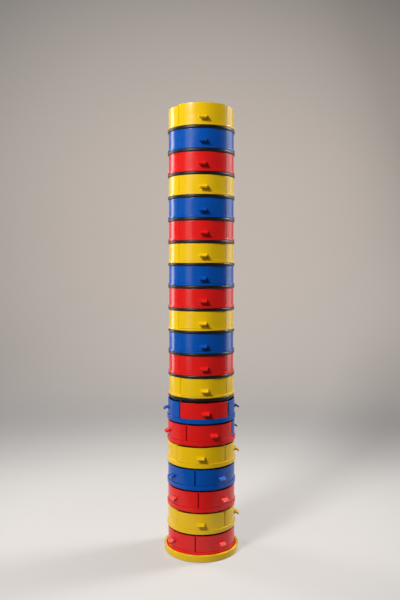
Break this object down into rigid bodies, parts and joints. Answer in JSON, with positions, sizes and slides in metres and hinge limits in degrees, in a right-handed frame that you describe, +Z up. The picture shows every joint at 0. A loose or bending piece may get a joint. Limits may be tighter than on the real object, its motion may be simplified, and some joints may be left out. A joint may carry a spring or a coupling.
{
  "type": "plastic drawer tower",
  "caption": "Tall round storage tower of stacked turning tiers in red, blue and yellow plastic, with curved-front pull-out drawers for craft supplies.",
  "frame": {"origin": "Centre of the base underside, on the axis that every tier turns about.", "axes": "+Z up along the tower, -Y towards the front where most drawers open, +X to the right of someone facing the front."},
  "size_m": [0.19, 0.19, 1.0874],
  "materials": {
    "yellow_plastic": "yellow moulded plastic, glossy",
    "blue_plastic": "blue moulded plastic, glossy",
    "red_plastic": "red moulded plastic, glossy"
  },
  "bodies": {
    "base": {"base": "yellow_plastic"},
    "tier_01": {"tier_01_housing": "yellow_plastic"},
    "tier_01_drawer": {"tier_01_drawer": "yellow_plastic"},
    "tier_02": {"tier_02_housing": "blue_plastic"},
    "tier_02_drawer": {"tier_02_drawer": "blue_plastic"},
    "tier_03": {"tier_03_housing": "red_plastic"},
    "tier_03_drawer": {"tier_03_drawer": "red_plastic"},
    "tier_04": {"tier_04_housing": "yellow_plastic"},
    "tier_04_drawer": {"tier_04_drawer": "yellow_plastic"},
    "tier_05": {"tier_05_housing": "blue_plastic"},
    "tier_05_drawer": {"tier_05_drawer": "blue_plastic"},
    "tier_06": {"tier_06_housing": "red_plastic"},
    "tier_06_drawer": {"tier_06_drawer": "red_plastic"},
    "tier_07": {"tier_07_housing": "yellow_plastic"},
    "tier_07_drawer": {"tier_07_drawer": "yellow_plastic"},
    "tier_08": {"tier_08_housing": "blue_plastic"},
    "tier_08_drawer": {"tier_08_drawer": "blue_plastic"},
    "tier_09": {"tier_09_housing": "red_plastic"},
    "tier_09_drawer": {"tier_09_drawer": "red_plastic"},
    "tier_10": {"tier_10_housing": "yellow_plastic"},
    "tier_10_drawer": {"tier_10_drawer": "yellow_plastic"},
    "tier_11": {"tier_11_housing": "blue_plastic"},
    "tier_11_drawer": {"tier_11_drawer": "blue_plastic"},
    "tier_12": {"tier_12_housing": "red_plastic"},
    "tier_12_drawer": {"tier_12_drawer": "red_plastic"},
    "tier_13": {"tier_13_housing": "yellow_plastic"},
    "tier_13_drawer": {"tier_13_drawer": "yellow_plastic"},
    "tier_14": {"tier_14_carcass": "blue_plastic"},
    "tier_14_front_drawer": {"tier_14_front_drawer": "red_plastic"},
    "tier_14_left_drawer": {"tier_14_left_drawer": "blue_plastic"},
    "tier_14_right_drawer": {"tier_14_right_drawer": "blue_plastic"},
    "tier_14_back_drawer": {"tier_14_back_drawer": "blue_plastic"},
    "tier_15": {"tier_15_carcass": "red_plastic"},
    "tier_15_front_drawer": {"tier_15_front_drawer": "red_plastic"},
    "tier_15_left_drawer": {"tier_15_left_drawer": "red_plastic"},
    "tier_15_right_drawer": {"tier_15_right_drawer": "blue_plastic"},
    "tier_15_back_drawer": {"tier_15_back_drawer": "red_plastic"},
    "tier_16": {"tier_16_carcass": "yellow_plastic"},
    "tier_16_front_drawer": {"tier_16_front_drawer": "yellow_plastic"},
    "tier_16_right_drawer": {"tier_16_right_drawer": "yellow_plastic"},
    "tier_17": {"tier_17_carcass": "blue_plastic"},
    "tier_17_front_drawer": {"tier_17_front_drawer": "blue_plastic"},
    "tier_17_left_drawer": {"tier_17_left_drawer": "blue_plastic"},
    "tier_18": {"tier_18_carcass": "red_plastic"},
    "tier_18_front_drawer": {"tier_18_front_drawer": "red_plastic"},
    "tier_18_left_drawer": {"tier_18_left_drawer": "red_plastic"},
    "tier_19": {"tier_19_carcass": "yellow_plastic"},
    "tier_19_front_drawer": {"tier_19_front_drawer": "yellow_plastic"},
    "tier_19_right_drawer": {"tier_19_right_drawer": "yellow_plastic"},
    "tier_20": {"tier_20_carcass": "red_plastic"},
    "tier_20_front_drawer": {"tier_20_front_drawer": "red_plastic"},
    "tier_20_left_drawer": {"tier_20_left_drawer": "red_plastic"},
    "tier_20_right_drawer": {"tier_20_right_drawer": "blue_plastic"},
    "top_lid": {"top_lid": "yellow_plastic"}
  },
  "joints": [
    {"name": "tier_01_turn", "type": "hinge", "parent": "tier_02", "child": "tier_01", "pos_m": [0, 0, 1.0283], "axis": [0, 0, 1], "continuous": true},
    {"name": "tier_01_drawer_slide", "type": "slide", "parent": "tier_01", "child": "tier_01_drawer", "axis": [0.0436, -0.999, 0], "range_m": [0, 0.095]},
    {"name": "tier_02_turn", "type": "hinge", "parent": "tier_03", "child": "tier_02", "pos_m": [0, 0, 0.9748], "axis": [0, 0, 1], "continuous": true},
    {"name": "tier_02_drawer_slide", "type": "slide", "parent": "tier_02", "child": "tier_02_drawer", "axis": [0.0349, -0.9994, 0], "range_m": [0, 0.095]},
    {"name": "tier_03_turn", "type": "hinge", "parent": "tier_04", "child": "tier_03", "pos_m": [0, 0, 0.9213], "axis": [0, 0, 1], "continuous": true},
    {"name": "tier_03_drawer_slide", "type": "slide", "parent": "tier_03", "child": "tier_03_drawer", "axis": [0.0175, -0.9998, 0], "range_m": [0, 0.095]},
    {"name": "tier_04_turn", "type": "hinge", "parent": "tier_05", "child": "tier_04", "pos_m": [0, 0, 0.8678], "axis": [0, 0, 1], "continuous": true},
    {"name": "tier_04_drawer_slide", "type": "slide", "parent": "tier_04", "child": "tier_04_drawer", "axis": [0.0523, -0.9986, 0], "range_m": [0, 0.095]},
    {"name": "tier_05_turn", "type": "hinge", "parent": "tier_06", "child": "tier_05", "pos_m": [0, 0, 0.8143], "axis": [0, 0, 1], "continuous": true},
    {"name": "tier_05_drawer_slide", "type": "slide", "parent": "tier_05", "child": "tier_05_drawer", "axis": [0.0262, -0.9997, 0], "range_m": [0, 0.095]},
    {"name": "tier_06_turn", "type": "hinge", "parent": "tier_07", "child": "tier_06", "pos_m": [0, 0, 0.7608], "axis": [0, 0, 1], "continuous": true},
    {"name": "tier_06_drawer_slide", "type": "slide", "parent": "tier_06", "child": "tier_06_drawer", "axis": [0.061, -0.9981, 0], "range_m": [0, 0.095]},
    {"name": "tier_07_turn", "type": "hinge", "parent": "tier_08", "child": "tier_07", "pos_m": [0, 0, 0.7073], "axis": [0, 0, 1], "continuous": true},
    {"name": "tier_07_drawer_slide", "type": "slide", "parent": "tier_07", "child": "tier_07_drawer", "axis": [0.0436, -0.999, 0], "range_m": [0, 0.095]},
    {"name": "tier_08_turn", "type": "hinge", "parent": "tier_09", "child": "tier_08", "pos_m": [0, 0, 0.6538], "axis": [0, 0, 1], "continuous": true},
    {"name": "tier_08_drawer_slide", "type": "slide", "parent": "tier_08", "child": "tier_08_drawer", "axis": [0.0262, -0.9997, 0], "range_m": [0, 0.095]},
    {"name": "tier_09_turn", "type": "hinge", "parent": "tier_10", "child": "tier_09", "pos_m": [0, 0, 0.6003], "axis": [0, 0, 1], "continuous": true},
    {"name": "tier_09_drawer_slide", "type": "slide", "parent": "tier_09", "child": "tier_09_drawer", "axis": [0.0436, -0.999, 0], "range_m": [0, 0.095]},
    {"name": "tier_10_turn", "type": "hinge", "parent": "tier_11", "child": "tier_10", "pos_m": [0, 0, 0.5468], "axis": [0, 0, 1], "continuous": true},
    {"name": "tier_10_drawer_slide", "type": "slide", "parent": "tier_10", "child": "tier_10_drawer", "axis": [0.0349, -0.9994, 0], "range_m": [0, 0.095]},
    {"name": "tier_11_turn", "type": "hinge", "parent": "tier_12", "child": "tier_11", "pos_m": [0, 0, 0.4933], "axis": [0, 0, 1], "continuous": true},
    {"name": "tier_11_drawer_slide", "type": "slide", "parent": "tier_11", "child": "tier_11_drawer", "axis": [0.0523, -0.9986, 0], "range_m": [0, 0.095]},
    {"name": "tier_12_turn", "type": "hinge", "parent": "tier_13", "child": "tier_12", "pos_m": [0, 0, 0.4398], "axis": [0, 0, 1], "continuous": true},
    {"name": "tier_12_drawer_slide", "type": "slide", "parent": "tier_12", "child": "tier_12_drawer", "axis": [0.0698, -0.9976, 0], "range_m": [0, 0.095]},
    {"name": "tier_13_turn", "type": "hinge", "parent": "tier_14", "child": "tier_13", "pos_m": [0, 0, 0.3863], "axis": [0, 0, 1], "continuous": true},
    {"name": "tier_13_drawer_slide", "type": "slide", "parent": "tier_13", "child": "tier_13_drawer", "axis": [0.0872, -0.9962, 0], "range_m": [0, 0.095]},
    {"name": "tier_14_turn", "type": "hinge", "parent": "tier_15", "child": "tier_14", "pos_m": [0, 0, 0.3328], "axis": [0, 0, 1], "continuous": true},
    {"name": "tier_14_front_drawer_slide", "type": "slide", "parent": "tier_14", "child": "tier_14_front_drawer", "axis": [0.1132, -0.9936, 0], "range_m": [0, 0.048]},
    {"name": "tier_14_left_drawer_slide", "type": "slide", "parent": "tier_14", "child": "tier_14_left_drawer", "axis": [-0.9936, -0.1132, 0], "range_m": [0, 0.048]},
    {"name": "tier_14_right_drawer_slide", "type": "slide", "parent": "tier_14", "child": "tier_14_right_drawer", "axis": [0.9936, 0.1132, 0], "range_m": [0, 0.048]},
    {"name": "tier_14_back_drawer_slide", "type": "slide", "parent": "tier_14", "child": "tier_14_back_drawer", "axis": [-0.1132, 0.9936, 0], "range_m": [0, 0.048]},
    {"name": "tier_15_turn", "type": "hinge", "parent": "tier_16", "child": "tier_15", "pos_m": [0, 0, 0.2793], "axis": [0, 0, 1], "continuous": true},
    {"name": "tier_15_front_drawer_slide", "type": "slide", "parent": "tier_15", "child": "tier_15_front_drawer", "axis": [0.3338, -0.9426, 0], "range_m": [0, 0.048]},
    {"name": "tier_15_left_drawer_slide", "type": "slide", "parent": "tier_15", "child": "tier_15_left_drawer", "axis": [-0.9426, -0.3338, 0], "range_m": [0, 0.048]},
    {"name": "tier_15_right_drawer_slide", "type": "slide", "parent": "tier_15", "child": "tier_15_right_drawer", "axis": [0.9426, 0.3338, 0], "range_m": [0, 0.048]},
    {"name": "tier_15_back_drawer_slide", "type": "slide", "parent": "tier_15", "child": "tier_15_back_drawer", "axis": [-0.3338, 0.9426, 0], "range_m": [0, 0.048]},
    {"name": "tier_16_turn", "type": "hinge", "parent": "tier_17", "child": "tier_16", "pos_m": [0, 0, 0.2258], "axis": [0, 0, 1], "continuous": true},
    {"name": "tier_16_front_drawer_slide", "type": "slide", "parent": "tier_16", "child": "tier_16_front_drawer", "axis": [-0.0175, -0.9998, 0], "range_m": [0, 0.048]},
    {"name": "tier_16_right_drawer_slide", "type": "slide", "parent": "tier_16", "child": "tier_16_right_drawer", "axis": [0.9998, -0.0175, 0], "range_m": [0, 0.048]},
    {"name": "tier_17_turn", "type": "hinge", "parent": "tier_18", "child": "tier_17", "pos_m": [0, 0, 0.1723], "axis": [0, 0, 1], "continuous": true},
    {"name": "tier_17_front_drawer_slide", "type": "slide", "parent": "tier_17", "child": "tier_17_front_drawer", "axis": [0.5664, -0.8241, 0], "range_m": [0, 0.048]},
    {"name": "tier_17_left_drawer_slide", "type": "slide", "parent": "tier_17", "child": "tier_17_left_drawer", "axis": [-0.8241, -0.5664, 0], "range_m": [0, 0.048]},
    {"name": "tier_18_turn", "type": "hinge", "parent": "tier_19", "child": "tier_18", "pos_m": [0, 0, 0.1188], "axis": [0, 0, 1], "continuous": true},
    {"name": "tier_18_front_drawer_slide", "type": "slide", "parent": "tier_18", "child": "tier_18_front_drawer", "axis": [0.6428, -0.766, 0], "range_m": [0, 0.048]},
    {"name": "tier_18_left_drawer_slide", "type": "slide", "parent": "tier_18", "child": "tier_18_left_drawer", "axis": [-0.766, -0.6428, 0], "range_m": [0, 0.048]},
    {"name": "tier_19_turn", "type": "hinge", "parent": "tier_20", "child": "tier_19", "pos_m": [0, 0, 0.0653], "axis": [0, 0, 1], "continuous": true},
    {"name": "tier_19_front_drawer_slide", "type": "slide", "parent": "tier_19", "child": "tier_19_front_drawer", "axis": [-0.0175, -0.9998, 0], "range_m": [0, 0.048]},
    {"name": "tier_19_right_drawer_slide", "type": "slide", "parent": "tier_19", "child": "tier_19_right_drawer", "axis": [0.9998, -0.0175, 0], "range_m": [0, 0.048]},
    {"name": "tier_20_turn", "type": "hinge", "parent": "base", "child": "tier_20", "pos_m": [0, 0, 0.0118], "axis": [0, 0, 1], "continuous": true},
    {"name": "tier_20_front_drawer_slide", "type": "slide", "parent": "tier_20", "child": "tier_20_front_drawer", "axis": [0.5736, -0.8192, 0], "range_m": [0, 0.048]},
    {"name": "tier_20_left_drawer_slide", "type": "slide", "parent": "tier_20", "child": "tier_20_left_drawer", "axis": [-0.8192, -0.5736, 0], "range_m": [0, 0.048]},
    {"name": "tier_20_right_drawer_slide", "type": "slide", "parent": "tier_20", "child": "tier_20_right_drawer", "axis": [0.8192, 0.5736, 0], "range_m": [0, 0.048]},
    {"name": "top_lid_lift", "type": "slide", "parent": "tier_01", "child": "top_lid", "axis": [0, 0, 1], "range_m": [0, 0.03]}
  ]
}
